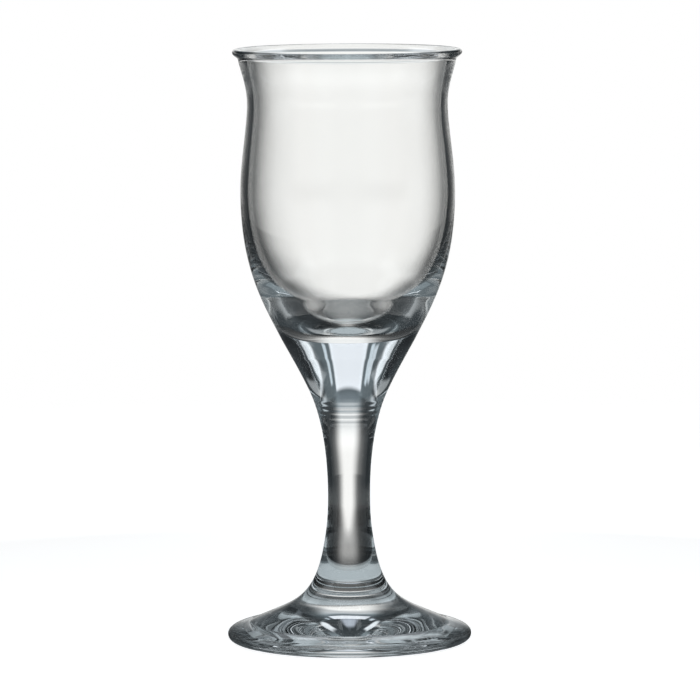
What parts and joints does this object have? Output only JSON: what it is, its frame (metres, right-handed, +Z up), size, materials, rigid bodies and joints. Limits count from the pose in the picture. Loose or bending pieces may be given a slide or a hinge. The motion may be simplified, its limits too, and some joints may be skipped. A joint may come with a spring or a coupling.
{
  "type": "sherry glass",
  "caption": "Small clear stemmed glass with a tulip bowl, turned-out lip, solid waisted stem and round flared foot.",
  "frame": {"origin": "on the table, at the centre of the foot", "axes": "+Z up along the stem, the glass's axis of rotation; +X and +Y are alike"},
  "size_m": [0.06, 0.06, 0.146],
  "materials": {
    "clear_glass": "fire-polished, clear with a faint cool grey tint in the thick parts"
  },
  "bodies": {
    "root": {"bowl": "clear_glass", "stem_head": "clear_glass", "stem": "clear_glass", "foot": "clear_glass"}
  },
  "joints": []
}
